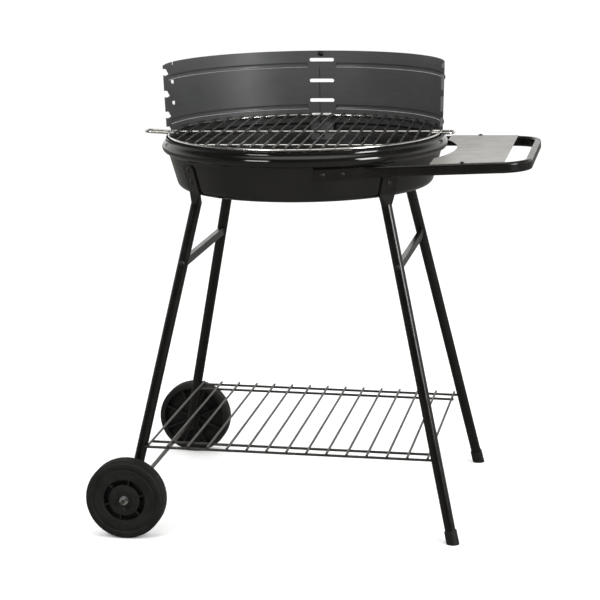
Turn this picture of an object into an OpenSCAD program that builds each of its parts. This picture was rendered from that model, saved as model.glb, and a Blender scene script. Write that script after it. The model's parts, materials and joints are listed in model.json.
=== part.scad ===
// Round charcoal barbecue on a four-leg trolley: fire bowl, wind-shield,
// cooking grid, charcoal grate, wire shelf, side table and two wheels.
// Millimetres, +Z up, ground at z = 0, origin at the middle of the footprint.

/* [Bowl] */
// Outer diameter of the upright collar around the bowl's mouth
collar_d = 533.2; // [532:0.2:536]
// Height of the bowl's flat underside above the ground
bowl_z = 628; // [620:1:640]
// Thickness of the bowl's sheet
bowl_t = 1.2; // [1:0.1:1.4]

/* [Wind-shield] */
// Height of the wind-shield's top edge above the collar's top edge
shield_h = 134; // [125:1:145]
// Thickness of the wind-shield's sheet
shield_t = 0.8; // [0.6:0.1:0.8]
// Turn of the wind-shield and the cooking grid about the bowl's axis
turn = 2; // [0:0.5:4]

/* [Cooking grid] */
// Diameter of the grid's rim wire
rim_wire_d = 5; // [4:0.5:5]
// Diameter of the grid's cross wires
cross_wire_d = 4; // [3:0.5:4]
// Distance between neighbouring cross wires
cross_pitch = 22.2; // [20:0.2:23]
// How far the left handle stands out of the grid's rim
handle_left = 48; // [30:1:50]
// How far the right handle stands out of the grid's rim
handle_right = 26; // [22:1:50]

/* [Legs] */
// Outer diameter of the leg tubes
leg_d = 20; // [19:0.5:20]
// Wall thickness of the leg tubes
leg_t = 1.2; // [1:0.1:1.5]
// Height of the two cross braces
brace_z = 502; // [480:1:520]

/* [Shelf] */
// Height of the wire shelf
shelf_z = 154.5; // [140:0.5:170]
// Number of cross wires in the shelf
shelf_wires = 15; // [11:1:17]
// Diameter of the shelf's wires
shelf_wire_d = 5; // [4:0.5:6]

/* [Wheels] */
// Diameter of each wheel
wheel_d = 150; // [150:1:150]
// Width of each wheel
wheel_w = 40; // [36:1:42]
// Distance from the middle of the trolley to the middle of each wheel
wheel_y = 293; // [290:1:296]
// Diameter of the axle rod
axle_d = 8; // [8:1:8]

/* [Side table] */
// Height of the side frame's tube axis
frame_z = 688; // [686:0.5:689]
// Height of the side frame's tube section
rail_h = 20; // [18:0.5:21]
// Width of the side frame's tube section
rail_w = 12.5; // [12:0.5:14]
// Distance from the bowl's axis to the outer side of the hand grip
grip_x = 444; // [430:1:460]

/* [Hidden] */
$fn = 96;

// ---- derived bowl figures ----
collar_r = collar_d / 2;
bowl_h = 96;
collar_top = bowl_z + bowl_h;
wall_a = 15.5;                    // lean of the bowl's wall from upright
wall_tan = tan(wall_a);
corner_r = 16;
corner_c = [collar_r - 35, corner_r];
wall_r0 = corner_c[0] + corner_r * cos(wall_a);   // wall radius at the top of the corner
wall_z0 = corner_r - corner_r * sin(wall_a);
function wall_r(z) = wall_r0 + (z - bowl_z - wall_z0) * wall_tan;   // outer wall radius at height z

// Catmull-Rom curve through a list of points
function cr(a, b, c, d, t) = 0.5 * ((2 * b) + (c - a) * t + (2 * a - 5 * b + 4 * c - d) * t * t + (3 * b - a - 3 * c + d) * t * t * t);
function curve(p, n) = [for (i = [0 : len(p) - 2]) for (k = [0 : n - 1])
    cr(p[max(i - 1, 0)], p[i], p[i + 1], p[min(i + 2, len(p) - 1)], k / n), p[len(p) - 1]];
// Path moved sideways by t (to its left)
function unit(v) = v / norm(v);
function left_of(v) = [-v[1], v[0]];
function nrm(p, i) = let (a = unit(p[i] - p[max(i - 1, 0)] + (i == 0 ? p[1] - p[0] : [0, 0])),
    b = unit(p[min(i + 1, len(p) - 1)] - p[i] + (i == len(p) - 1 ? p[i] - p[i - 1] : [0, 0])),
    m = unit(left_of(a) + left_of(b))) m / max(0.5, m * left_of(b));
function moved(p, t) = [for (i = [0 : len(p) - 1]) p[i] + nrm(p, i) * t];
function rev(p) = [for (i = [len(p) - 1 : -1 : 0]) p[i]];

bowl_corner = [for (a = [-90 : 9.3125 : -15.4]) corner_c + corner_r * [cos(a), sin(a)]];
bowl_lip = curve([[wall_r(bowl_z + 62), 62], [wall_r(bowl_z + 64.5), 64.5], [collar_r - 3.4, 67], [collar_r + 1.6, 69], [collar_r + 5.4, 72.2],
    [collar_r + 7.3, 76.5], [collar_r + 7.3, 80.6], [collar_r + 5.4, 84.6], [collar_r + 2.4, 88], [collar_r + 0.5, 90.8], [collar_r, 93.4]], 3);
bowl_outer = concat([[40, 0]], bowl_corner, bowl_lip, [[collar_r, 96]]);
bowl_profile = concat([[0, 0]], bowl_outer, rev(moved(bowl_outer, bowl_t)), [[0, bowl_t]]);

// ---- legs: foot point on the ground, bend under the bowl, flattened end on the wall ----
leg_az = 43;                      // azimuth of each flattened end
leg_bend_z = bowl_z - 15;
foot_r = [310, 267];
foot_l = [317, 262];
bend_r = [178.5, 161.8];
bend_l = [181.5, 153.8];
tab_w = 36; tab_t = 2.6; tab_z = bowl_z + 14; tab_l = 50;
tab_outline = concat([[-tab_w / 2, -10.2], [tab_w / 2, -10.2]], [for (a = [0 : 11.25 : 90]) [tab_w / 2 - 8 + 8 * cos(a), tab_l - 11 + 8 * sin(a)]],
  [for (a = [90 : 11.25 : 180]) [-tab_w / 2 + 8 + 8 * cos(a), tab_l - 11 + 8 * sin(a)]]);
function leg_foot(s) = s[0] > 0 ? [foot_r[0], foot_r[1] * s[1], 0] : [-foot_l[0], foot_l[1] * s[1], 0];
function leg_bend(s) = s[0] > 0 ? [bend_r[0], bend_r[1] * s[1], leg_bend_z] : [-bend_l[0], bend_l[1] * s[1], leg_bend_z];
function leg_at(s, z) = leg_foot(s) + (leg_bend(s) - leg_foot(s)) * z / leg_bend_z;
function az_of(s) = s[0] > 0 ? leg_az * s[1] : 180 - leg_az * s[1];
FL = [-1, -1]; BL = [-1, 1]; FR = [1, -1]; BR = [1, 1];
CORNERS = [FL, BL, FR, BR];
axle_z = wheel_d / 2;
axle_x = leg_at(FL, axle_z)[0];
bowl_x = -(grip_x + axle_x - wheel_d / 2) / 2;    // the origin is midway between the wheels' edge and the grip
foot_h = 24;

// ---- wind-shield ----
ws_z0 = collar_top - 12;
ws_z1 = collar_top + shield_h;
ws_r0 = 263;                      // inner radius of the inner panel at its lower edge
ws_lean = 0.033;
function ws_r(z) = ws_r0 + (z - ws_z0) * ws_lean;
slot_w = 50; slot_h = 7;
levels = [collar_top, collar_top + 30, collar_top + 70, collar_top + 112];   // lower edges of the four grid positions
ws_end = 97.5;                    // half the wind-shield's arc
bead_z = [collar_top + 20, collar_top + 105];
ws_bolt_z = bowl_z + 58.5;
tongue_r = wall_r(bowl_z + 50) - bowl_t - 2.2;
seam_step = 0.9;                  // the left panel lies this far outside the right one

// ---- grid ----
rim_r = 260.6;
rim_z = collar_top + 0.5 + rim_wire_d / 2;
cross_z = rim_z + rim_wire_d / 2 + cross_wire_d / 2 - 0.4;
cross_half = floor((rim_r - 12) / cross_pitch);
handle_w = 32;
handle_y = -6;                    // the two end handles sit this far off the grid's middle

// ---- side frame ----
grip_r = 55;                      // bend radius of the tube's axis at the grip
rail_slope = 7;                   // each rail closes in by this angle towards the grip
rail_end_x = grip_x - rail_w / 2 - grip_r * (1 - sin(rail_slope));
rail_end_y = 181.5;                 // half distance between the rail axes where the grip bends begin
function rail_y(x) = rail_end_y + (rail_end_x - x) * tan(rail_slope);
rail_start_x = 188;
rail_tilt = 1.2;                  // the frame drops by this angle towards the bowl
rail_t = 1.2;
sheet_x0 = 263; sheet_x1 = 396.5; sheet_t = 1.2; sheet_r = 292;
strip_t = 2.6; strip_h = 21.5;
strip_zc = bowl_z + 53;
strip_az0 = -77; strip_az1 = -56;

// ---- helpers ----
module about_bowl() { translate([bowl_x, 0, 0]) children(); }
// Rod from point a to point b
module rod(a, b, r) {
  d = b - a; l = norm(d);
  translate(a) rotate([0, acos(d[2] / l), atan2(d[1], d[0])]) cylinder(h = l, r = r);
}
// Frame on the bowl's wall: x points out of the wall, z up along it, origin on the outer face at height z
module on_wall(az, z) { rotate([0, 0, az]) translate([wall_r(z), 0, z]) rotate([0, wall_a, 0]) children(); }
// Hexagon nut or bolt head, axis along +Z
module hex(af, h) { cylinder(h = h, r = af / 2 / cos(30), $fn = 6); }
// Round-headed bolt, head on +Z side of z = 0, shank along -Z
module round_bolt(r, l, head_r, head_h) {
  translate([0, 0, -l]) cylinder(h = l + 0.5, r = r);
  intersection() {
    translate([0, 0, head_h - (head_r * head_r + head_h * head_h) / (2 * head_h)]) sphere(r = (head_r * head_r + head_h * head_h) / (2 * head_h));
    cylinder(h = head_h + 1, r = head_r + 1);
  }
}
// Hexagon nut with a hole, lying on z = 0
module nut(af, h, r) { difference() { hex(af, h); translate([0, 0, -1]) cylinder(h = h + 2, r = r); } }
// Round closed ring of wire
module wire_ring(r, d, z) { translate([0, 0, z]) rotate_extrude($fn = 180) translate([r, 0]) circle(d = d, $fn = 28); }

// ---- bowl ----
module bowl() color([0.13, 0.13, 0.12]) about_bowl() difference() {
  translate([0, 0, bowl_z]) rotate_extrude($fn = 180) polygon(bowl_profile);
  for (s = CORNERS) for (h = [13, 37]) on_wall(az_of(s), tab_z) translate([-5, 0, h]) rotate([0, 90, 0]) cylinder(h = 10, r = 3.25, $fn = 32);
  for (m = [-1, 1]) for (a = [-73.4, -65.2]) on_wall(a * m, strip_zc) translate([-5, 0, 0]) rotate([0, 90, 0]) cylinder(h = 10, r = 3.25, $fn = 32);
  on_wall(turn + 90, ws_bolt_z) translate([-5, 0, 0]) rotate([0, 90, 0]) cylinder(h = 10, r = 2.75, $fn = 32);
}

// ---- wind-shield panels ----
// Sheet band between two azimuths
module ws_band(a0, a1, z0, z1, off, t) {
  rotate([0, 0, a0]) rotate_extrude(angle = a1 - a0, $fn = 240)
    polygon([[ws_r(z0) + off, z0], [ws_r(z0) + off + t, z0], [ws_r(z1) + off + t, z1], [ws_r(z1) + off, z1]]);
}
module ws_bead(a0, a1, z, off, grow) {
  rotate([0, 0, a0]) rotate_extrude(angle = a1 - a0, $fn = 240)
    polygon([for (k = [0 : 10]) let (u = k / 10 * 180) [ws_r(z) + off + (2.4 + grow) * sin(u) - (grow > 0 ? -0.2 : 0.4), z - (4.6 + grow) * cos(u)]]);
}
// Rounded slot through the sheet at the middle of the back, in the shield's turned frame
module ws_slot(z) {
  for (e = [-1, 1]) translate([e * (slot_w - slot_h) / 2, 290, z]) rotate([90, 0, 0]) cylinder(h = 60, r = slot_h / 2, $fn = 32);
  translate([-(slot_w - slot_h) / 2, 230, z - slot_h / 2]) cube([slot_w - slot_h, 60, slot_h]);
}
// Notch in one end, slanting down inwards so that the handle drops to its seat; m = -1 for the left end
module ws_notch(m, z) {
  translate([m * 225, 0, 0]) rotate([90, 0, 90]) translate([0, 0, m > 0 ? 0 : -60]) linear_extrude(60)
    polygon([[-60, z + 8.2], [-6, z], [19.5, z], [19.8, z + 1.5], [3.5, z + 12], [-60, z + 18.5]]);
}
module ws_end_cut(m) {
  translate([m * 225, 0, 0]) rotate([90, 0, 90]) translate([0, 0, m > 0 ? 0 : -60]) linear_extrude(60)
    polygon([[-60, ws_z0 - 5], [19.4, ws_z0 - 5], [19.4, levels[0] + 3], [4.5, levels[0] + 12.6], [-60, levels[0] + 19.5]]);
}
module ws_spit_hole(m, z) { translate([m * 225, 44, z]) rotate([0, 90, 0]) translate([0, 0, m > 0 ? 0 : -60]) { cylinder(h = 60, r = 4.5, $fn = 32); translate([-1, -7, 0]) cylinder(h = 60, r = 3.8, $fn = 32); } }
module ws_top_slit(m) { translate([m * 225 - (m > 0 ? 0 : 60), 45, ws_z1 - 6]) cube([60, 4.5, 10]); }
module ws_panel(m, a0, a1, off, bead0, bead1) {
  difference() {
    union() {
      ws_band(a0, a1, ws_z0, ws_z1, off, shield_t);
      for (z = bead_z) ws_bead(bead0, bead1, z, off + shield_t, 0);
    }
    for (z = bead_z) ws_bead(bead0 + 0.4, bead1 - 0.4, z, off - 0.35, 0.3);
    for (z = levels) ws_slot(z + slot_h / 2);
    for (i = [1, 2, 3]) ws_notch(m, levels[i]);
    ws_end_cut(m);
    for (i = [2, 3]) ws_spit_hole(m, (levels[i - 1] + levels[i]) / 2 + 4.5);
    ws_top_slit(m);
    translate([0, 250, ws_z1 - 5.8]) rotate([90, 0, 0]) translate([-1.6, 0, -50]) cylinder(h = 80, r = 2.7, $fn = 32);
  }
}
// Tongue below a panel, leaning in to the bowl's wall where it is bolted
module ws_tongue(a0, a1, off) {
  difference() {
    rotate([0, 0, a0]) rotate_extrude(angle = a1 - a0, $fn = 240) translate([off, 0])
      polygon([[tongue_r, bowl_z + 50], [tongue_r + shield_t, bowl_z + 50], [tongue_r + 14 * wall_tan + shield_t, bowl_z + 64], [ws_r0 + shield_t, ws_z0 + 0.2], [ws_r0, ws_z0 + 0.2], [tongue_r + 14 * wall_tan, bowl_z + 64]]);
    rotate([0, 0, -turn]) on_wall(turn + 90, ws_bolt_z) translate([-12, 0, 0]) rotate([0, 90, 0]) cylinder(h = 20, r = 2.75, $fn = 32);
  }
}
module windshield_right_panel() color([0.30, 0.31, 0.30]) about_bowl() rotate([0, 0, turn]) {
  union() { ws_panel(1, 90 - ws_end, 91, 0, 4, 84.2); ws_tongue(85, 90.7, 0); }
}
module windshield_left_panel() color([0.30, 0.31, 0.30]) about_bowl() rotate([0, 0, turn]) {
  union() { ws_panel(-1, 86.4, 90 + ws_end, seam_step, 95.8, 176); ws_tongue(88.6, 95, seam_step); }
}
module windshield_bolts() color([0.12, 0.12, 0.12]) about_bowl() rotate([0, 0, turn]) {
  translate([-1.6, 0, ws_z1 - 5.8]) translate([0, ws_r(ws_z1) - 0.75, 0]) rotate([90, 0, 0]) round_bolt(2.45, 9, 5.6, 3.2);
  rotate([0, 0, -turn]) on_wall(turn + 90, ws_bolt_z) translate([-3.6, 0, 0]) rotate([0, -90, 0]) round_bolt(2.5, 9, 5, 3);
}
module windshield_nuts() color([0.6, 0.6, 0.6]) about_bowl() rotate([0, 0, turn]) {
  translate([-1.6, ws_r(ws_z1) + seam_step + shield_t + 0.05, ws_z1 - 5.8]) rotate([-90, 0, 0]) nut(8, 4, 2.5);
  rotate([0, 0, -turn]) on_wall(turn + 90, ws_bolt_z) translate([0.12, 0, 0]) rotate([0, 90, 0]) nut(8, 4, 2.55);
}

// ---- cooking grid ----
module on_grid() { about_bowl() rotate([0, 0, turn]) children(); }
module grid_rim() color([0.8, 0.8, 0.8]) on_grid() wire_ring(rim_r, rim_wire_d, rim_z);
module grid_support_bars() color([0.8, 0.8, 0.8]) on_grid()
  for (y = [-192, 0]) let (h = sqrt(rim_r * rim_r - y * y) - 1) rod([-h, y, rim_z], [h, y, rim_z], 2.25);
module grid_cross_wires() color([0.8, 0.8, 0.8]) on_grid()
  for (k = [-cross_half : cross_half]) let (x = k * cross_pitch, h = sqrt(rim_r * rim_r - x * x) + 1.5) rod([x, -h, cross_z], [x, h, cross_z], cross_wire_d / 2);
// Wire loop lying flat, open end at x = 0, rounded tip at x = l
module loop(w, l, d, r) {
  for (s = [-1, 1]) {
    translate([0, s * w / 2, 0]) rotate([0, 90, 0]) cylinder(h = l - r, d = d, $fn = 28);
    translate([l - r, s * (w / 2 - r), 0]) rotate([0, 0, s > 0 ? 0 : -90]) rotate_extrude(angle = 90, $fn = 64) translate([r, 0]) circle(d = d, $fn = 28);
  }
  translate([l, -w / 2 + r, 0]) rotate([-90, 0, 0]) cylinder(h = w - 2 * r, d = d, $fn = 28);
}
module grid_handle_left() color([0.8, 0.8, 0.8]) on_grid() translate([-242, handle_y, rim_z - 0.6]) rotate([0, 0, 180]) rotate([0, -3.4, 0]) loop(handle_w, rim_r - 242 + handle_left, rim_wire_d - 0.2, 12);
module grid_handle_right() color([0.8, 0.8, 0.8]) on_grid() translate([242, handle_y, rim_z]) loop(handle_w, rim_r - 242 + handle_right, rim_wire_d - 0.2, 12);
module grid_rear_hook() color([0.8, 0.8, 0.8]) on_grid() translate([0, 242, rim_z]) rotate([0, 0, 90]) loop(handle_w, 28.5, rim_wire_d - 0.2, 6);

// ---- charcoal grate, standing on the bowl's floor ----
grate_r = 238; grate_z = bowl_z + 30;
module charcoal_grate_rim() color([0.25, 0.25, 0.25]) about_bowl() wire_ring(grate_r, 5, grate_z);
module charcoal_grate_wires() color([0.25, 0.25, 0.25]) about_bowl()
  for (k = [-7 : 7]) let (x = k * 31, h = sqrt(grate_r * grate_r - x * x) + 1) rod([x, -h, grate_z + 4.6], [x, h, grate_z + 4.6], 2.5);
module charcoal_grate_feet() color([0.25, 0.25, 0.25]) about_bowl() for (x = [-155, 155]) translate([x, 0, 0]) {
  for (s = [-1, 1]) rod([0, 120 * s, bowl_z + bowl_t + 0.4], [0, 120 * s, grate_z + 4.2], 2.5);
  rod([0, -120, grate_z - 2], [0, 120, grate_z - 2], 2.5);
}

// ---- legs ----
module leg(s) about_bowl() {
  a = leg_foot(s); b = leg_bend(s); u = unit(b - a);
  difference() {
    union() {
      rod(leg_at(s, s[0] < 0 ? axle_z - 17 : 6), b, leg_d / 2);
      translate(b) sphere(d = leg_d + 0.16, $fn = 48);
      hull() {
        translate(b) sphere(d = leg_d - 0.5, $fn = 32);
        on_wall(az_of(s), tab_z) translate([0.2, -tab_w / 2 + 0.1, -11]) cube([tab_t - 0.2, tab_w - 0.2, 4]);
      }
      on_wall(az_of(s), tab_z) translate([0.1, 0, 0]) rotate([90, 0, 90]) linear_extrude(tab_t) polygon(tab_outline);
    }
    rod(leg_at(s, -10), b, leg_d / 2 - leg_t);
    for (h = [13, 37]) on_wall(az_of(s), tab_z) translate([-5, 0, h]) rotate([0, 90, 0]) cylinder(h = 12, r = 3.25, $fn = 32);
    // brace bolt, along Y
    let (p = leg_at(s, brace_z)) translate([p[0], p[1] - 20, p[2]]) rotate([-90, 0, 0]) cylinder(h = 40, r = 2.7, $fn = 32);
    // shelf wire end, through the inner wall only
    let (x = leg_at(s, shelf_at(leg_at(s, shelf_z)[0]))[0], e = x - s[0] * 20)
      rod([x, s[1] * shelf_y, shelf_at(x)], [e, s[1] * shelf_y, shelf_at(e)], shelf_wire_d / 2 + 0.15);
    if (s[0] < 0) let (p = leg_at(s, axle_z)) translate([p[0], p[1] - 25, p[2]]) rotate([-90, 0, 0]) cylinder(h = 50, r = axle_d / 2 + 0.1, $fn = 48);
  }
}
module leg_front_left() color([0.14, 0.13, 0.12]) leg(FL);
module leg_back_left() color([0.14, 0.13, 0.12]) leg(BL);
module leg_front_right() color([0.14, 0.13, 0.12]) leg(FR);
module leg_back_right() color([0.14, 0.13, 0.12]) leg(BR);
// Bolts through the flattened ends: low domed heads outside, thin nuts inside the bowl
module leg_bolts() color([0.14, 0.14, 0.13]) about_bowl() for (s = CORNERS) for (h = [13, 37])
  on_wall(az_of(s), tab_z) translate([tab_t + 0.15, 0, h]) rotate([0, 90, 0]) round_bolt(3, 8.2, 6, 2.1);
module leg_nuts() color([0.55, 0.55, 0.55]) about_bowl() for (s = CORNERS) for (h = [13, 37])
  on_wall(az_of(s), tab_z) translate([-bowl_t - 0.25, 0, h]) rotate([0, -90, 0]) nut(10, 3.2, 3.05);

// ---- braces: folded channels between front and back legs ----
brace_h = 15; brace_w = 9.5;
module brace(sx) about_bowl() {
  p = leg_at([sx, -1], brace_z); e = abs(p[1]) - leg_d / 2 - 1.9;
  translate([p[0] - brace_w / 2 + 1.4, 0, brace_z]) difference() {
    translate([0, -e, -brace_h / 2]) cube([brace_w, 2 * e, brace_h]);
    translate([-1, -e + 1.5, -brace_h / 2 + 1.2]) cube([brace_w + 1 - 1.2, 2 * e - 3, brace_h - 2.4]);
    for (m = [-1, 1]) translate([brace_w / 2 - 1.4, m * e, 0]) rotate([90, 0, 0]) translate([0, 0, -5]) cylinder(h = 10, r = 2.7, $fn = 32);
  }
}
module brace_left() color([0.14, 0.13, 0.12]) brace(-1);
module brace_right() color([0.14, 0.13, 0.12]) brace(1);
module brace_bolts() color([0.14, 0.14, 0.13]) about_bowl() for (s = CORNERS) let (p = leg_at(s, brace_z))
  translate([p[0], p[1] + s[1] * (leg_d / 2 + 1.25), p[2]]) rotate([s[1] > 0 ? -90 : 90, 0, 0]) round_bolt(2.5, leg_d + 9, 5.6, 3.2);
module brace_nuts() color([0.55, 0.55, 0.55]) about_bowl() for (s = CORNERS) let (p = leg_at(s, brace_z))
  translate([p[0], p[1] - s[1] * (leg_d / 2 + 3.6), p[2]]) rotate([s[1] > 0 ? 90 : -90, 0, 0]) nut(8, 4, 2.55);

// ---- wire shelf: two long wires at the front, two at the back, cross wires on top ----
shelf_x0 = -268; shelf_x1 = 261.5;
shelf_y = abs(leg_at(FL, shelf_z)[1]) + 3.9;
shelf_y2 = shelf_y - 37;
function shelf_at(x) = shelf_z - x * tan(0.96);   // the shelf falls a little away from the wheels
module shelf_long_wires() color([0.2, 0.19, 0.18]) about_bowl() for (m = [-1, 1]) {
  xl = leg_at([-1, m], shelf_z); xr = leg_at([1, m], shelf_z);
  for (e = [[xl[0] + 3, xr[0] - 3, shelf_y], [shelf_x0 - 3, shelf_x1 + 3, shelf_y2]])
    rod([e[0], m * e[2], shelf_at(e[0])], [e[1], m * e[2], shelf_at(e[1])], shelf_wire_d / 2);
}
module shelf_cross_wires() color([0.2, 0.19, 0.18]) about_bowl() for (i = [0 : shelf_wires - 1])
  let (x = shelf_x0 + i * (shelf_x1 - shelf_x0) / (shelf_wires - 1)) translate([x, 0, shelf_at(x) + shelf_wire_d - 0.4]) rod([0, -shelf_y - 5, 0], [0, shelf_y + 5, 0], shelf_wire_d / 2 - 0.25);

// ---- axle and wheels ----
hub_out = wheel_w / 2;
module at_axle(y) { about_bowl() translate([axle_x, y, axle_z]) rotate([-90, 0, 0]) children(); }
axle_half = wheel_y + wheel_w / 2 + 13;
module axle() color([0.15, 0.15, 0.15]) at_axle(-axle_half) cylinder(h = 2 * axle_half, r = axle_d / 2, $fn = 64);
// Wheel with its outer face towards +Z
module wheel() {
  R = wheel_d / 2; w = wheel_w / 2; e = 3.5;
  difference() {
    rotate_extrude($fn = 180) polygon([[axle_d / 2 + 0.05, -w], [13, -w], [13, -w + 3], [24, -w + 3], [28, -w], [R - 14, -w], [R - 4, -w + 1.5], [R - 1, -w + e], [R, -w + 7],
      [R, w - 7], [R - 1, w - e], [R - 4, w - 1.5], [R - 12, w], [62, w], [61, w - 1.2], [58.5, w - 1.2], [57.5, w - 0.2], [42, w - 0.8], [39.5, w - 1.6], [39.5, w - 15],
      [29.5, w - 15], [29.5, w - 2], [28, w - 0.8], [17, w - 0.6], [15, w - 2.5], [9.5, w - 2.5], [axle_d / 2 + 0.05, w - 2.5]]);
    // hollow of the inner side between its ribs
    for (k = [0 : 7]) rotate([0, 0, k * 45]) rotate([0, 0, 4]) translate([0, 0, -w - 1]) rotate_extrude(angle = 37, $fn = 96) translate([32, 0]) square([R - 12 - 32, 15]);
  }
  for (k = [0 : 5]) rotate([0, 0, k * 60 + 45]) translate([28.5, -1.4, w - 16.5]) cube([12, 2.8, 13.6]);
}
module wheel_front() color([0.13, 0.13, 0.12]) at_axle(-wheel_y) mirror([0, 0, 1]) wheel();
module wheel_back() color([0.13, 0.13, 0.12]) at_axle(wheel_y) wheel();
spacer_in = abs(leg_at(FL, axle_z)[1]) + leg_d / 2 + 1.6;
module axle_spacers() color([0.12, 0.12, 0.12]) for (m = [-1, 1]) at_axle(0) translate([0, 0, m > 0 ? spacer_in : -(wheel_y - wheel_w / 2 - 0.4)])
  difference() { cylinder(h = wheel_y - wheel_w / 2 - 0.4 - spacer_in, r = 7.5); translate([0, 0, -1]) cylinder(h = 60, r = axle_d / 2 + 0.05, $fn = 64); }
module axle_washers() color([0.75, 0.75, 0.75]) for (m = [-1, 1]) at_axle(0) translate([0, 0, m > 0 ? wheel_y + hub_out - 2.1 : -(wheel_y + hub_out - 2.1) - 1.2])
  difference() { cylinder(h = 1.2, r = 8.2); translate([0, 0, -1]) cylinder(h = 4, r = axle_d / 2 + 0.05, $fn = 64); }
module axle_nuts() color([0.75, 0.75, 0.75]) for (m = [-1, 1]) at_axle(m * (wheel_y + hub_out - 0.8)) rotate([m > 0 ? 0 : 180, 0, 0]) {
  difference() { union() { hex(13, 7); cylinder(h = 9, r = 5.6); } translate([0, 0, -1]) cylinder(h = 12, r = axle_d / 2 + 0.05, $fn = 64); }
}

// ---- foot caps ----
module foot_cap(s) about_bowl() {
  a = leg_foot(s); d = leg_at(s, foot_h) - a; l = norm(d);
  difference() {
    translate(a) rotate([0, acos(d[2] / l), atan2(d[1], d[0])]) rotate([0, 0, 115]) difference() {
      translate([0, 0, -11]) cylinder(h = l + 11, r = leg_d / 2 + 1.9);
      translate([0, 0, l * 5.7 / foot_h]) cylinder(h = l, r = leg_d / 2 + 0.05);
    }
    translate(a + [-40, -40, -60]) cube([80, 80, 60]);
  }
}
module foot_cap_front() color([0.1, 0.1, 0.1]) foot_cap(FR);
module foot_cap_back() color([0.1, 0.1, 0.1]) foot_cap(BR);

// ---- side frame: one flat-oval tube bent to a U, ends flattened on the bowl ----
rail_c = 4.6;                     // corner radius of the tube's section
module rail_section(g = 0) {
  polygon([for (q = [0 : 3]) for (a = [0 : 18 : 90]) let (sx = (q == 0 || q == 3) ? 1 : -1, sy = q < 2 ? 1 : -1)
    [sx * (rail_w / 2 - rail_c) + (rail_c - g) * cos(q * 90 + a), sy * (rail_h / 2 - rail_c) + (rail_c - g) * sin(q * 90 + a)]]);
}
// The frame's own plane: it drops towards the bowl
module frame_plane() { translate([grip_axis_x, 0, frame_z]) rotate([0, -rail_tilt, 0]) translate([-grip_axis_x, 0, -frame_z]) children(); }
module rail_run(g = 0, start = 0) {
  l = (rail_end_x - rail_start_x) / cos(rail_slope) - start + 1.5;
  translate([rail_start_x, -rail_y(rail_start_x), frame_z]) rotate([0, 0, rail_slope]) translate([start, 0, 0]) rotate([90, 0, 90]) linear_extrude(l) rail_section(g + 0.06);
}
module rail_bend(g = 0) {
  translate([rail_end_x, -rail_end_y, frame_z]) rotate([0, 0, rail_slope]) translate([0, grip_r, 0]) rotate([0, 0, -90]) rotate_extrude(angle = 90 - rail_slope, $fn = 96) translate([grip_r, 0]) rail_section(g);
}
grip_axis_x = rail_end_x + grip_r * (1 - sin(rail_slope)) ;
grip_half = rail_end_y - grip_r * cos(rail_slope);
module frame_end_strip() {
  // flattened end lying on the bowl's wall
  intersection() {
    rotate([0, 0, strip_az0]) rotate_extrude(angle = strip_az1 - strip_az0, $fn = 240)
      polygon([[wall_r(strip_zc - strip_h / 2) + 0.15, strip_zc - strip_h / 2], [wall_r(strip_zc - strip_h / 2) + 0.15 + strip_t, strip_zc - strip_h / 2],
        [wall_r(strip_zc + strip_h / 2) + 0.15 + strip_t, strip_zc + strip_h / 2], [wall_r(strip_zc + strip_h / 2) + 0.15, strip_zc + strip_h / 2]]);
    translate([-100, -400, strip_zc - 30]) cube([400, 400, 60]);
  }
}
module side_frame() color([0.13, 0.13, 0.12]) about_bowl() difference() {
  union() {
    for (m = [0, 1]) mirror([0, m, 0]) {
      frame_plane() { rail_run(); rail_bend(); }
      frame_end_strip();
      hull() {
        on_wall(strip_az1 - 1, strip_zc) translate([0.3, 0, -strip_h / 2 + 0.5]) cube([strip_t - 0.4, 3.4, strip_h - 1]);
        frame_plane() translate([rail_start_x, -rail_y(rail_start_x), frame_z]) rotate([0, 0, rail_slope]) translate([0.5, 0, 0]) rotate([90, 0, 90]) linear_extrude(3) rail_section(0.16);
      }
    }
    frame_plane() translate([grip_axis_x, 0, frame_z]) rotate([90, 0, 0]) translate([0, 0, -grip_half - 1.5]) linear_extrude(2 * grip_half + 3) rail_section(0.06);
  }
  frame_plane() union() {
    for (m = [0, 1]) mirror([0, m, 0]) { rail_run(rail_t, 5); rail_bend(rail_t); }
    translate([grip_axis_x, 0, frame_z]) rotate([90, 0, 0]) translate([0, 0, -grip_half - 1.5]) linear_extrude(2 * grip_half + 3) rail_section(rail_t + 0.06);
  }
  for (m = [-1, 1]) for (a = [-73.4, -65.2]) on_wall(a * m, strip_zc) translate([-5, 0, 0]) rotate([0, 90, 0]) cylinder(h = 12, r = 3.25, $fn = 32);
  frame_plane() for (m = [-1, 1]) translate([321, m * rail_y(321), frame_z]) cylinder(h = 20, r = 2.1, $fn = 32);
}

// ---- side table sheet ----
module side_table_sheet() color([0.69, 0.68, 0.66]) about_bowl() frame_plane() difference() {
  translate([0, 0, frame_z + rail_h / 2 + 0.05]) linear_extrude(sheet_t) difference() {
    polygon([[sheet_x0, -rail_y(sheet_x0) - 1], [sheet_x1, -rail_y(sheet_x1) - 1], [sheet_x1, rail_y(sheet_x1) + 1], [sheet_x0, rail_y(sheet_x0) + 1]]);
    circle(r = sheet_r, $fn = 240);
  }
  for (m = [-1, 1]) translate([321, m * rail_y(321), frame_z]) cylinder(h = 20, r = 2.3, $fn = 32);
}
module table_screws() color([0.2, 0.2, 0.2]) about_bowl() frame_plane() for (m = [-1, 1])
  translate([321, m * rail_y(321), frame_z + rail_h / 2 + sheet_t + 0.1]) round_bolt(2, 14, 4.6, 2.6);
module frame_bolts() color([0.14, 0.14, 0.13]) about_bowl() for (m = [-1, 1]) for (a = [-73.4, -65.2])
  on_wall(a * m, strip_zc) translate([strip_t + 0.35, 0, 0]) rotate([0, 90, 0]) round_bolt(3, 12, 5, 2.6);
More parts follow.
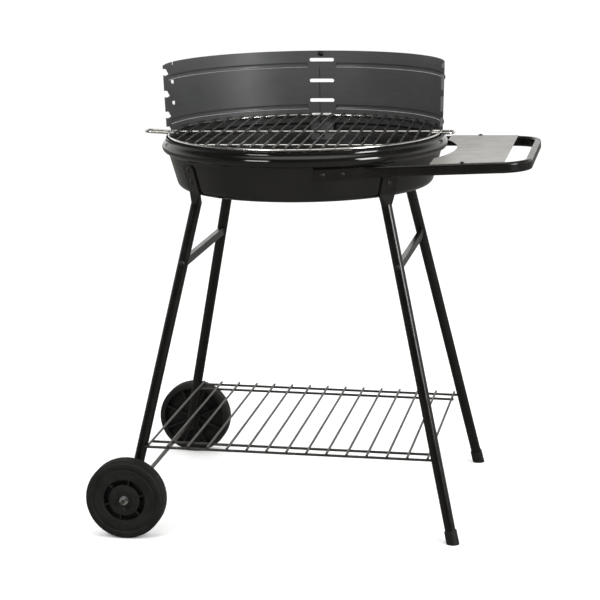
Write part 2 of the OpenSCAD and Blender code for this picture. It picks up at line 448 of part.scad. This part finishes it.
module frame_nuts() color([0.55, 0.55, 0.55]) about_bowl() for (m = [-1, 1]) for (a = [-73.4, -65.2])
  on_wall(a * m, strip_zc) translate([-bowl_t - 0.15, 0, 0]) rotate([0, -90, 0]) nut(10, 5, 3.05);

bowl();
windshield_left_panel();
windshield_right_panel();
windshield_bolts();
windshield_nuts();
grid_rim();
grid_support_bars();
grid_cross_wires();
grid_handle_left();
grid_handle_right();
grid_rear_hook();
charcoal_grate_rim();
charcoal_grate_wires();
charcoal_grate_feet();
leg_front_left();
leg_back_left();
leg_front_right();
leg_back_right();
leg_bolts();
leg_nuts();
brace_left();
brace_right();
brace_bolts();
brace_nuts();
shelf_long_wires();
shelf_cross_wires();
axle();
wheel_front();
wheel_back();
axle_spacers();
axle_washers();
axle_nuts();
foot_cap_front();
foot_cap_back();
side_frame();
side_table_sheet();
table_screws();
frame_bolts();
frame_nuts();
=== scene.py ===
import bpy
import json
import math
from mathutils import Vector, Matrix


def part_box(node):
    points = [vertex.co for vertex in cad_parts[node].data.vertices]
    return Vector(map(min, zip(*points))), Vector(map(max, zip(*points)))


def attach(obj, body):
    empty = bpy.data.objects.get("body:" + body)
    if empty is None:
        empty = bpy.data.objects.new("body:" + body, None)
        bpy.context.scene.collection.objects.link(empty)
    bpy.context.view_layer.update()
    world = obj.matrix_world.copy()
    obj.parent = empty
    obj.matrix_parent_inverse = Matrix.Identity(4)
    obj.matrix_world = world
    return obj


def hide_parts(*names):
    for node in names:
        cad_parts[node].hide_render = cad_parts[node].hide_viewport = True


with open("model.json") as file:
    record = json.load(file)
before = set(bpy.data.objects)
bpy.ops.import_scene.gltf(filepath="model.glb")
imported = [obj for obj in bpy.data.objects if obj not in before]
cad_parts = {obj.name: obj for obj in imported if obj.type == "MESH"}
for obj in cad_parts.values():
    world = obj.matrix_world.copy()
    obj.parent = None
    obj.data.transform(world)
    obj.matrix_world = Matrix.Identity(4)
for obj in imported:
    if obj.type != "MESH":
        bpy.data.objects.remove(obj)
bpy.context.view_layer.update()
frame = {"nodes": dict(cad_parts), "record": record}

nodes = frame["nodes"]
scene = bpy.context.scene


# ---------------------------------------------------------------- materials
class Mat:
    """A node material built round one Principled shader."""

    def __init__(self, name):
        self.m = bpy.data.materials.new(name)
        self.m.use_nodes = True
        self.t = self.m.node_tree
        self.t.nodes.clear()
        self.out = self.t.nodes.new("ShaderNodeOutputMaterial")
        self.b = self.t.nodes.new("ShaderNodeBsdfPrincipled")
        self.t.links.new(self.b.outputs[0], self.out.inputs[0])
        self.co = self.t.nodes.new("ShaderNodeTexCoord").outputs["Object"]

    def n(self, kind, **kw):
        node = self.t.nodes.new(kind)
        for k, v in kw.items():
            setattr(node, k, v)
        return node

    def link(self, a, b):
        self.t.links.new(a, b)

    def noise(self, scale, detail=4.0, rough=0.55, stretch=None, distortion=0.0):
        v = self.co
        if stretch:
            mp = self.n("ShaderNodeMapping")
            mp.inputs["Scale"].default_value = stretch
            self.link(self.co, mp.inputs["Vector"])
            v = mp.outputs[0]
        n = self.n("ShaderNodeTexNoise")
        n.inputs["Scale"].default_value = scale
        n.inputs["Detail"].default_value = detail
        n.inputs["Roughness"].default_value = rough
        n.inputs["Distortion"].default_value = distortion
        self.link(v, n.inputs["Vector"])
        return n.outputs[0]

    def ramp(self, fac, lo, hi, a=0.0, b=1.0):
        r = self.n("ShaderNodeMapRange")
        r.inputs["From Min"].default_value = lo
        r.inputs["From Max"].default_value = hi
        r.inputs["To Min"].default_value = a
        r.inputs["To Max"].default_value = b
        r.clamp = True
        self.link(fac, r.inputs["Value"])
        return r.outputs[0]

    def mix(self, fac, a, b):
        x = self.n("ShaderNodeMix", data_type="RGBA")
        for sock, val in ((x.inputs[0], fac), (x.inputs[6], a), (x.inputs[7], b)):
            if hasattr(val, "is_linked") or hasattr(val, "links"):
                self.link(val, sock)
            elif isinstance(val, (int, float)):
                sock.default_value = val
            else:
                sock.default_value = (*val, 1.0)
        return x.outputs[2]

    def mul(self, a, b):
        x = self.n("ShaderNodeMath", operation="MULTIPLY")
        self.link(a, x.inputs[0])
        if isinstance(b, (int, float)):
            x.inputs[1].default_value = b
        else:
            self.link(b, x.inputs[1])
        return x.outputs[0]

    def axis(self, i):
        s = self.n("ShaderNodeSeparateXYZ")
        self.link(self.co, s.inputs[0])
        return s.outputs[i]

    def up(self):
        """How far the surface faces upwards."""
        g = self.n("ShaderNodeNewGeometry")
        s = self.n("ShaderNodeSeparateXYZ")
        self.link(g.outputs["Normal"], s.inputs[0])
        return self.ramp(s.outputs[2], 0.3, 1.0)

    def bump(self, height, strength, distance, below=None):
        b = self.n("ShaderNodeBump")
        b.inputs["Strength"].default_value = strength
        b.inputs["Distance"].default_value = distance
        self.link(height, b.inputs["Height"])
        if below is not None:
            self.link(below, b.inputs["Normal"])
        return b.outputs[0]

    def set(self, **kw):
        for k, v in kw.items():
            s = self.b.inputs[k.replace("_", " ")]
            if hasattr(v, "links"):
                self.link(v, s)
            elif isinstance(v, (tuple, list)) and len(v) == 3:
                s.default_value = (*v, 1.0)
            else:
                s.default_value = v
        return self


bowl_x = (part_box("bowl")[0][0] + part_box("bowl")[1][0]) / 2
# the right wind-shield panel's end, at the back: the largest angle about the bowl's axis that its mesh reaches
SEAM_AZ = max(math.degrees(math.atan2(v.co.y, v.co.x - bowl_x)) for v in nodes["windshield_right_panel"].data.vertices if v.co.y > 0.2)


def about_axis(m):
    """Vector from the bowl's axis to the surface point, level."""
    v = m.n("ShaderNodeVectorMath", operation="SUBTRACT")
    m.link(m.co, v.inputs[0])
    v.inputs[1].default_value = (bowl_x, 0, 0)
    w = m.n("ShaderNodeVectorMath", operation="MULTIPLY")
    m.link(v.outputs[0], w.inputs[0])
    w.inputs[1].default_value = (1, 1, 0)
    return w.outputs[0]


def inside_bowl(m):
    """1 on the bowl's inner wall and floor, 0 outside."""
    r = m.n("ShaderNodeVectorMath", operation="NORMALIZE")
    m.link(about_axis(m), r.inputs[0])
    d = m.n("ShaderNodeVectorMath", operation="DOT_PRODUCT")
    m.link(m.n("ShaderNodeNewGeometry").outputs["Normal"], d.inputs[0])
    m.link(r.outputs[0], d.inputs[1])
    wall = m.ramp(m.mul(d.outputs["Value"], -1.0), 0.15, 0.5)
    floor_part = m.mul(m.up(), m.ramp(m.axis(2), 0.640, 0.670, 1.0, 0.0))
    x = m.n("ShaderNodeMath", operation="MAXIMUM")
    m.link(wall, x.inputs[0])
    m.link(floor_part, x.inputs[1])
    return x.outputs[0]


def enamel():
    # glass-like black enamel with faint flow marks, orange peel and a little dust on what faces up
    m = Mat("black_enamel")
    col = m.mix(m.ramp(m.noise(9, 5), 0.35, 0.65), (0.0030, 0.0030, 0.0026), (0.0052, 0.0050, 0.0043))
    dust = m.mul(m.mul(m.ramp(m.noise(60, 6, 0.7), 0.45, 0.75), m.up()), 0.06)
    col = m.mix(dust, col, (0.16, 0.15, 0.13))
    rough = m.ramp(m.noise(14, 6, 0.6), 0.3, 0.7, 0.06, 0.13)
    # inside, the enamel is rougher and its colour is painted: lighter grey under the rim as a painted reflection,
    # darker towards the floor, with blotchy mid-grey patches
    inner = inside_bowl(m)
    # painted reflection on the inner wall: lighter grey above, darker towards the floor
    inner_wall_painted_reflection = m.mix(m.ramp(m.axis(2), 0.684, 0.704), (0.0050, 0.0047, 0.0043), (0.040, 0.0385, 0.036))
    inner_wall_painted_reflection = m.mix(m.mul(m.ramp(m.noise(34, 6, 0.65), 0.42, 0.72), 0.5), inner_wall_painted_reflection, (0.016, 0.015, 0.014))
    col = m.mix(inner, col, inner_wall_painted_reflection)
    matt = m.ramp(m.noise(45, 6, 0.6), 0.3, 0.7, 0.46, 0.66)
    blend = m.n("ShaderNodeMix", data_type="FLOAT")
    m.link(inner, blend.inputs[0])
    m.link(rough, blend.inputs[2])
    m.link(matt, blend.inputs[3])
    rough = blend.outputs[0]
    peel = m.bump(m.noise(520, 2, 0.4), 0.05, 0.0004)
    wave = m.bump(m.noise(26, 2, 0.4), 0.10, 0.0012, peel)
    m.set(Base_Color=col, Roughness=rough, Normal=wave, IOR=1.47)
    return m.m


def shield_paint():
    # satin high-temperature paint, fine grain, slightly uneven sheen, faint drawn streaks
    m = Mat("shield_grey_paint")
    col = m.mix(m.ramp(m.noise(7, 5), 0.3, 0.7), (0.049, 0.051, 0.050), (0.066, 0.068, 0.067))
    streak = m.ramp(m.noise(30, 4, 0.6, (0.5, 0.5, 9.0)), 0.4, 0.75)
    col = m.mix(m.mul(streak, 0.14), col, (0.11, 0.112, 0.112))
    fine = m.noise(1500, 3, 0.6)
    col = m.mix(m.mul(m.ramp(fine, 0.55, 0.8), 0.25), col, (0.13, 0.13, 0.13))
    # painted shadow: a dark line where one panel's edge lies on the other, for the shade that edge casts
    sep = m.n("ShaderNodeSeparateXYZ")
    m.link(about_axis(m), sep.inputs[0])
    az = m.n("ShaderNodeMath", operation="ARCTAN2")
    m.link(sep.outputs[1], az.inputs[0])
    m.link(sep.outputs[0], az.inputs[1])
    off = m.n("ShaderNodeMath", operation="SUBTRACT")
    m.link(az.outputs[0], off.inputs[0])
    off.inputs[1].default_value = math.radians(SEAM_AZ)
    dist = m.n("ShaderNodeMath", operation="ABSOLUTE")
    m.link(off.outputs[0], dist.inputs[0])
    seam_painted_shadow = m.mul(m.ramp(dist.outputs[0], 0.0018, 0.0042, 1.0, 0.0), m.ramp(m.axis(2), 0.822, 0.826, 1.0, 0.0))
    # the painted seam shadow darkens the paint next to the panel's edge
    col = m.mix(m.mul(seam_painted_shadow, 0.85), col, (0.008, 0.008, 0.008))
    rough = m.ramp(m.noise(16, 6, 0.6), 0.3, 0.7, 0.36, 0.52)
    bump = m.bump(m.noise(34, 3, 0.5), 0.10, 0.001, m.bump(fine, 0.16, 0.0003))
    m.set(Base_Color=col, Roughness=rough, Metallic=0.10, Normal=bump, IOR=1.5, Specular_IOR_Level=0.36, Coat_Weight=0.12, Coat_Roughness=0.11)
    return m.m


def tube_paint():
    # semi-gloss black powder coat over drawn tube
    m = Mat("tube_black_paint")
    col = m.mix(m.ramp(m.noise(20, 5), 0.35, 0.65), (0.0022, 0.0020, 0.0018), (0.0042, 0.0038, 0.0033))
    dust = m.mul(m.mul(m.ramp(m.noise(110, 6, 0.7), 0.5, 0.78), m.up()), 0.12)
    col = m.mix(dust, col, (0.15, 0.14, 0.12))
    rough = m.ramp(m.noise(60, 6, 0.6), 0.3, 0.7, 0.16, 0.30)
    bump = m.bump(m.noise(900, 3, 0.5), 0.10, 0.0003, m.bump(m.noise(70, 2, 0.4), 0.06, 0.0006))
    m.set(Base_Color=col, Roughness=rough, Normal=bump, IOR=1.45, Specular_IOR_Level=0.42)
    return m.m


def wire_paint():
    # dark grey-brown dipped paint on the shelf's wires
    m = Mat("shelf_wire_paint")
    col = m.mix(m.ramp(m.noise(60, 5), 0.35, 0.65), (0.0125, 0.0112, 0.0095), (0.024, 0.0215, 0.0185))
    rough = m.ramp(m.noise(160, 6, 0.6), 0.3, 0.7, 0.26, 0.42)
    bump = m.bump(m.noise(700, 3, 0.5), 0.15, 0.0004)
    m.set(Base_Color=col, Roughness=rough, Normal=bump, Metallic=0.05, IOR=1.5, Specular_IOR_Level=0.42)
    return m.m


def sheet_paint():
    # warm light grey satin paint on the side table's sheet, fine grain and a few rubbed patches
    m = Mat("side_table_paint")
    col = m.mix(m.ramp(m.noise(6, 5), 0.3, 0.7), (0.215, 0.207, 0.192), (0.248, 0.239, 0.224))
    rub = m.ramp(m.noise(22, 6, 0.65, (1.0, 3.0, 1.0)), 0.52, 0.78)
    col = m.mix(m.mul(rub, 0.22), col, (0.195, 0.188, 0.176))
    fine = m.noise(1800, 3, 0.6)
    col = m.mix(m.mul(m.ramp(fine, 0.5, 0.8), 0.14), col, (0.36, 0.352, 0.338))
    rough = m.ramp(m.noise(30, 6, 0.6), 0.3, 0.7, 0.30, 0.44)
    bump = m.bump(m.noise(18, 2, 0.4), 0.05, 0.001, m.bump(fine, 0.10, 0.0002))
    m.set(Base_Color=col, Roughness=rough, Normal=bump, Metallic=0.12, IOR=1.5)
    return m.m


def chrome_wire():
    # bright nickel-chrome wire with drawn lines, slight tarnish at random
    m = Mat("chromed_wire")
    col = m.mix(m.ramp(m.noise(18, 5), 0.35, 0.7), (0.78, 0.775, 0.75), (0.58, 0.565, 0.53))
    spots = m.ramp(m.noise(240, 4, 0.6), 0.62, 0.72)
    col = m.mix(m.mul(spots, 0.5), col, (0.24, 0.22, 0.19))
    rough = m.ramp(m.noise(90, 6, 0.6), 0.3, 0.7, 0.12, 0.30)
    bump = m.bump(m.noise(1300, 2, 0.5), 0.08, 0.0002)
    m.set(Base_Color=col, Roughness=rough, Metallic=1.0, Normal=bump)
    return m.m


def shaded_chrome_copy():
    # a darker copy of the same plating for the thin cross wires: painted shade for the dark shield they mirror, with
    # tarnish spots
    m = Mat("chromed_wire_painted_shade")
    col = m.mix(m.ramp(m.noise(22, 5), 0.35, 0.7), (0.36, 0.35, 0.33), (0.22, 0.21, 0.19))
    spots = m.ramp(m.noise(260, 4, 0.6), 0.58, 0.70)
    col = m.mix(m.mul(spots, 0.5), col, (0.15, 0.135, 0.115))
    rough = m.ramp(m.noise(90, 6, 0.6), 0.3, 0.7, 0.16, 0.36)
    bump = m.bump(m.noise(1300, 2, 0.5), 0.10, 0.0002)
    m.set(Base_Color=col, Roughness=rough, Metallic=1.0, Normal=bump)
    return m.m


def grate_steel():
    # dull bare steel wire of the charcoal grate
    m = Mat("grate_steel")
    col = m.mix(m.ramp(m.noise(30, 6), 0.35, 0.65), (0.16, 0.15, 0.14), (0.28, 0.265, 0.25))
    rough = m.ramp(m.noise(120, 6, 0.6), 0.3, 0.7, 0.35, 0.6)
    bump = m.bump(m.noise(900, 3, 0.6), 0.2, 0.0003)
    m.set(Base_Color=col, Roughness=rough, Metallic=0.85, Normal=bump)
    return m.m


def zinc():
    # bright zinc plating, slightly mottled
    m = Mat("zinc_plating")
    col = m.mix(m.ramp(m.noise(220, 5), 0.35, 0.65), (0.62, 0.63, 0.64), (0.46, 0.465, 0.46))
    rough = m.ramp(m.noise(400, 5, 0.6), 0.3, 0.7, 0.18, 0.36)
    bump = m.bump(m.noise(1600, 2, 0.5), 0.12, 0.0002)
    m.set(Base_Color=col, Roughness=rough, Metallic=1.0, Normal=bump)
    return m.m


def dark_zinc():
    # zinc plating of the nuts inside the bowl, made dark and dull
    m = Mat("zinc_plating_dark")
    col = m.mix(m.ramp(m.noise(220, 5), 0.35, 0.65), (0.030, 0.028, 0.026), (0.075, 0.070, 0.064))
    rough = m.ramp(m.noise(400, 5, 0.6), 0.3, 0.7, 0.40, 0.62)
    bump = m.bump(m.noise(1600, 3, 0.5), 0.2, 0.0002)
    m.set(Base_Color=col, Roughness=rough, Metallic=0.5, Normal=bump)
    return m.m


def rod_steel():
    m = Mat("axle_steel")
    col = m.mix(m.ramp(m.noise(60, 5, 0.6, (6.0, 1.0, 6.0)), 0.35, 0.65), (0.150, 0.142, 0.130), (0.095, 0.090, 0.082))
    rough = m.ramp(m.noise(200, 5, 0.6), 0.3, 0.7, 0.28, 0.45)
    bump = m.bump(m.noise(600, 3, 0.5, (3.0, 1.0, 3.0)), 0.12, 0.0003)
    m.set(Base_Color=col, Roughness=rough, Metallic=0.95, Normal=bump)
    return m.m


def black_screw():
    m = Mat("blackened_screw")
    col = m.mix(m.ramp(m.noise(300, 5), 0.35, 0.65), (0.006, 0.006, 0.006), (0.014, 0.0135, 0.013))
    rough = m.ramp(m.noise(500, 5, 0.6), 0.3, 0.7, 0.28, 0.45)
    bump = m.bump(m.noise(1500, 2, 0.5), 0.15, 0.0002)
    m.set(Base_Color=col, Roughness=rough, Metallic=0.4, Normal=bump)
    return m.m


def moulded(name, lo, hi, r0, r1, dusty=0.10):
    # matt moulded plastic with a fine spark-eroded grain and scuffs
    m = Mat(name)
    col = m.mix(m.ramp(m.noise(40, 5), 0.35, 0.65), lo, hi)
    scuff = m.ramp(m.noise(150, 7, 0.7), 0.56, 0.72)
    col = m.mix(m.mul(scuff, dusty), col, (0.13, 0.12, 0.105))
    rough = m.ramp(m.noise(80, 6, 0.6), 0.3, 0.7, r0, r1)
    bump = m.bump(m.noise(1100, 3, 0.6), 0.28, 0.0003)
    m.set(Base_Color=col, Roughness=rough, Normal=bump, IOR=1.45, Specular_IOR_Level=0.27)
    return m.m


M = {
    "enamel": enamel(),
    "shield": shield_paint(),
    "tube_paint": tube_paint(),
    "shelf_wire": wire_paint(),
    "table_sheet": sheet_paint(),
    "chromed_wire": chrome_wire(),
    "grate_steel": grate_steel(),
    "zinc": zinc(),
    "axle_steel": rod_steel(),
    "black_screw": black_screw(),
    "wheel_plastic": moulded("wheel_plastic", (0.0046, 0.0045, 0.0040), (0.0080, 0.0078, 0.0069), 0.50, 0.66, 0.07),
    "cap_plastic": moulded("cap_plastic", (0.0045, 0.0045, 0.0042), (0.0080, 0.0079, 0.0074), 0.42, 0.56, 0.10),
}
slot_of = {s["node"]: s["material_slot"] for s in frame["record"]["subparts"]}
for name, obj in nodes.items():
    obj.data.materials.clear()
    obj.data.materials.append(M[slot_of[name]])
# the cross wires take the darker copy of the chrome, painted shade
nodes["grid_cross_wires"].data.materials[0] = shaded_chrome_copy()
# the nuts inside the bowl take the darker copy of the zinc
for name in ("leg_nuts", "frame_nuts"):
    nodes[name].data.materials[0] = dark_zinc()


# ---------------------------------------------------------------- wheels
def wheel_mesh(name, centre, side, width, R):
    """A moulded wheel with a ribbed tread. side is +1 where the outer face looks towards +Y."""
    w = width / 2
    mm = 0.001
    N = 720
    # closed profile (radius, distance towards the outer face, how much of the rib depth applies)
    P = [(4.05, -w, 0), (12.4, -w, 0), (13.0, -w + 0.6, 0), (13.0, -w + 12, 0), (31.5, -w + 14, 0), (33, -w + 15, 0), (61, -w + 15, 0), (62.6, -w + 13.5, 0), (63, -w + 0.8, 0),
         (63.8, -w, 0), (R - 8, -w, 0), (R - 5, -w + 0.5, 0), (R - 3.4, -w + 1.4, 0.6), (R - 1.6, -w + 2.8, 1), (R - 0.5, -w + 4.6, 1), (R, -w + 7, 1), (R, -8, 1), (R, -3.5, 1),
         (R, 0, 1), (R, 3.5, 1), (R, 8, 1), (R, w - 7, 1), (R - 0.5, w - 4.6, 1), (R - 1.6, w - 2.8, 1), (R - 3.4, w - 1.4, 0.6), (R - 5, w - 0.5, 0), (R - 8, w, 0), (R - 12.4, w, 0),
         (62.2, w - 0.1, 0), (61.6, w - 0.5, 0), (61, w - 1.1, 0), (60.4, w - 1.25, 0), (58.9, w - 1.25, 0), (58.3, w - 1.0, 0), (57.6, w - 0.35, 0), (56.8, w - 0.2, 0), (48, w - 0.5, 0),
         (42, w - 0.8, 0), (40.3, w - 1.0, 0), (39.6, w - 1.6, 0), (39.5, w - 3, 0), (39.2, w - 14.4, 0), (38.4, w - 15, 0), (30.6, w - 15, 0), (29.8, w - 14.4, 0), (29.5, w - 3.2, 0),
         (29.3, w - 1.6, 0), (28.4, w - 0.9, 0), (24, w - 0.7, 0), (18, w - 0.6, 0), (16.6, w - 0.8, 0), (15.4, w - 1.8, 0), (14.6, w - 2.4, 0), (9.5, w - 2.5, 0), (4.05, w - 2.5, 0)]
    verts, faces = [], []
    depth = 0.75
    ring = len(P)
    for k in range(N):
        a = 2 * math.pi * k / N
        low = 1 if (k % 4) >= 2 else 0
        for r, z, g in P:
            rr = r - depth * g * low
            verts.append((rr * math.cos(a) * mm, z * mm, rr * math.sin(a) * mm))
    for k in range(N):
        k2 = (k + 1) % N
        for i in range(ring):
            j = (i + 1) % ring
            faces.append((k * ring + i, k * ring + j, k2 * ring + j, k2 * ring + i))

    def rib(a, r0, r1, z0, z1, t, draft=0.25):
        # a tapered radial web standing in a groove
        base = len(verts)
        ca, sa = math.cos(a), math.sin(a)
        rows = [(z0, t / 2 + draft), (z1 - 0.5, t / 2), (z1, t / 2 - 0.4)]
        for z, h in rows:
            for r, s in ((r0, -h), (r1, -h), (r1, h), (r0, h)):
                verts.append(((r * ca - s * sa) * mm, z * mm, (r * sa + s * ca) * mm))
        for q in range(2):
            for e in range(4):
                f = (e + 1) % 4
                faces.append((base + q * 4 + e, base + q * 4 + f, base + (q + 1) * 4 + f, base + (q + 1) * 4 + e))
        faces.append((base + 8, base + 9, base + 10, base + 11))
        faces.append((base + 3, base + 2, base + 1, base + 0))

    for k in range(6):
        rib(math.radians(60 * k + 45), 28.9, 40.2, w - 16, w - 3.2, 2.8)
    for k in range(8):
        # webs on the inner side, from the hub to the rim
        a = math.radians(45 * k + 22.5)
        base = len(verts)
        ca, sa = math.cos(a), math.sin(a)
        for r0, r1, z0, z1, h in ((12.5, 63.6, -w + 16, -w + 1.2, 1.7),):
            for z, hh in ((z0, h + 0.3), (z1 + 0.4, h), (z1, h - 0.4)):
                for r, s in ((r0, -hh), (r1, -hh), (r1, hh), (r0, hh)):
                    verts.append(((r * ca - s * sa) * mm, z * mm, (r * sa + s * ca) * mm))
        for q in range(2):
            for e in range(4):
                f = (e + 1) % 4
                faces.append((base + (q + 1) * 4 + e, base + (q + 1) * 4 + f, base + q * 4 + f, base + q * 4 + e))
        faces.append((base + 11, base + 10, base + 9, base + 8))
        faces.append((base + 0, base + 1, base + 2, base + 3))
    me = bpy.data.meshes.new(name)
    cx, cy, cz = centre
    # side -1 turns the wheel half a turn about the upright axis
    me.from_pydata([(side * x + cx, side * y + cy, z + cz) for x, y, z in verts], [], faces)
    me.validate()
    me.update()
    import bmesh
    bm = bmesh.new()
    bm.from_mesh(me)
    bmesh.ops.recalc_face_normals(bm, faces=bm.faces)
    bm.to_mesh(me)
    bm.free()
    ob = bpy.data.objects.new(name, me)
    scene.collection.objects.link(ob)
    for p in me.polygons:
        p.use_smooth = True
    me.set_sharp_from_angle(angle=math.radians(28))
    ob.data.materials.append(M["wheel_plastic"])
    return ob


for node, body, side, name in (("wheel_front", "front_wheel", -1, "front_wheel_tread"), ("wheel_back", "back_wheel", 1, "back_wheel_tread")):
    lo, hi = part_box(node)
    c = [(lo[i] + hi[i]) / 2 for i in range(3)]
    ob = wheel_mesh(name, c, side, (hi[1] - lo[1]) * 1000, (hi[0] - lo[0]) * 500)
    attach(ob, body)
    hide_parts(node)


# ---------------------------------------------------------------- floor, camera, light
def stage_mesh(name, verts, faces):
    me = bpy.data.meshes.new(name)
    me.from_pydata(verts, [], faces)
    me.update()
    ob = bpy.data.objects.new(name, me)
    scene.collection.objects.link(ob)
    return ob


F = 12.0
floor = stage_mesh("studio_floor", [(-F, -F, 0), (F, -F, 0), (F, F, 0), (-F, F, 0)], [(0, 1, 2, 3)])
fm = Mat("studio_floor_white")
fcol = fm.mix(fm.ramp(fm.noise(0.8, 3), 0.3, 0.7), (0.975, 0.975, 0.97), (0.99, 0.99, 0.985))
fm.set(Base_Color=fcol, Roughness=0.85, Specular_IOR_Level=0.1)
# painted reflection: glossy rays see the floor as a dim grey instead of white, so shiny parts mirror a darker floor
fdim = fm.n("ShaderNodeBsdfDiffuse")
fdim.inputs["Color"].default_value = (0.17, 0.167, 0.158, 1.0)
fmix = fm.n("ShaderNodeMixShader")
fm.link(fm.n("ShaderNodeLightPath").outputs["Is Glossy Ray"], fmix.inputs[0])
fm.link(fm.b.outputs[0], fmix.inputs[1])
fm.link(fdim.outputs[0], fmix.inputs[2])
fm.link(fmix.outputs[0], fm.out.inputs[0])
floor.data.materials.append(fm.m)

world = bpy.data.worlds.new("studio_white")
world.use_nodes = True
scene.world = world
wt = world.node_tree
wt.nodes.clear()


def wn(kind, **kw):
    node = wt.nodes.new(kind)
    for k, v in kw.items():
        setattr(node, k, v)
    return node


def wramp(src, lo, hi, a, b):
    r = wn("ShaderNodeMapRange", interpolation_type="SMOOTHSTEP")
    for k, v in (("From Min", lo), ("From Max", hi), ("To Min", a), ("To Max", b)):
        r.inputs[k].default_value = v
    wt.links.new(src, r.inputs["Value"])
    return r.outputs[0]


def wmath(op, a, b):
    m = wn("ShaderNodeMath", operation=op)
    wt.links.new(a, m.inputs[0])
    wt.links.new(b, m.inputs[1])
    return m.outputs[0]


# the studio seen in reflections: dim on the side the picture is taken from, a small bright panel overhead, white behind
wsep = wn("ShaderNodeSeparateXYZ")
wt.links.new(wn("ShaderNodeTexCoord").outputs["Generated"], wsep.inputs[0])
wx, wy, wz = wsep.outputs
level = wmath("MULTIPLY", wramp(wy, -0.70, 0.60, 0.035, 1.05), wramp(wz, 0.26, 0.60, 1.0, 0.05))
level = wmath("MAXIMUM", level, wramp(wz, 0.82, 0.95, 0.012, 1.9))
level = wmath("MAXIMUM", level, wramp(wx, 0.60, 0.97, 0.0, 0.40))
wback = wn("ShaderNodeBackground")
wback.inputs["Color"].default_value = (1.0, 0.995, 0.98, 1.0)
wt.links.new(level, wback.inputs["Strength"])
wplain = wn("ShaderNodeBackground")
wplain.inputs["Color"].default_value = (1.0, 1.0, 1.0, 1.0)
wplain.inputs["Strength"].default_value = 1.04
wmix = wn("ShaderNodeMixShader")
wt.links.new(wn("ShaderNodeLightPath").outputs["Is Glossy Ray"], wmix.inputs[0])
wt.links.new(wplain.outputs[0], wmix.inputs[1])
wt.links.new(wback.outputs[0], wmix.inputs[2])
wt.links.new(wmix.outputs[0], wn("ShaderNodeOutputWorld").inputs[0])


def area(name, loc, target, size, power, colour=(1, 1, 1)):
    li = bpy.data.lights.new(name, "AREA")
    li.shape = "RECTANGLE"
    li.size, li.size_y = size
    li.energy = power
    li.color = colour
    ob = bpy.data.objects.new(name, li)
    scene.collection.objects.link(ob)
    ob.location = loc
    d = Vector(target) - Vector(loc)
    ob.rotation_euler = d.to_track_quat("-Z", "Y").to_euler()
    return ob


def polar(az, dist, z):
    a = math.radians(az)
    return (bowl_x + dist * math.cos(a), dist * math.sin(a), z)


area("softbox_top", (0.1, 0.2, 3.6), (0, 0, 0.5), (3.2, 3.2), 40).visible_glossy = False
area("softbox_right", polar(-30, 3.2, 1.62), (bowl_x, 0, 0.62), (0.95, 1.35), 78)
area("softbox_left", polar(-119, 3.2, 2.35), (bowl_x, 0, 0.65), (1.05, 0.85), 42)

# camera: place, turn, tilt and roll, solved so that the frame falls as it does in the photograph
yaw, pitch, roll, focal = math.radians(10.181), math.radians(-12.064), math.radians(-1.071), 2051.5
C = Vector((0.67775 + bowl_x, -3.86090, 1.23468))
fw = Vector((-math.sin(yaw) * math.cos(pitch), math.cos(yaw) * math.cos(pitch), math.sin(pitch)))
rt = fw.cross(Vector((0, 0, 1))).normalized()
up = rt.cross(fw)
r2 = rt * math.cos(roll) + up * math.sin(roll)
u2 = -rt * math.sin(roll) + up * math.cos(roll)
cam = bpy.data.cameras.new("camera")
cam.sensor_width = 36.0
cam.lens = 36.0 * focal / 600.0
cam.clip_end = 100
cob = bpy.data.objects.new("camera", cam)
scene.collection.objects.link(cob)
cob.matrix_world = Matrix(((r2.x, u2.x, -fw.x, C.x), (r2.y, u2.y, -fw.y, C.y), (r2.z, u2.z, -fw.z, C.z), (0, 0, 0, 1)))
scene.camera = cob
scene.view_settings.view_transform = "Standard"
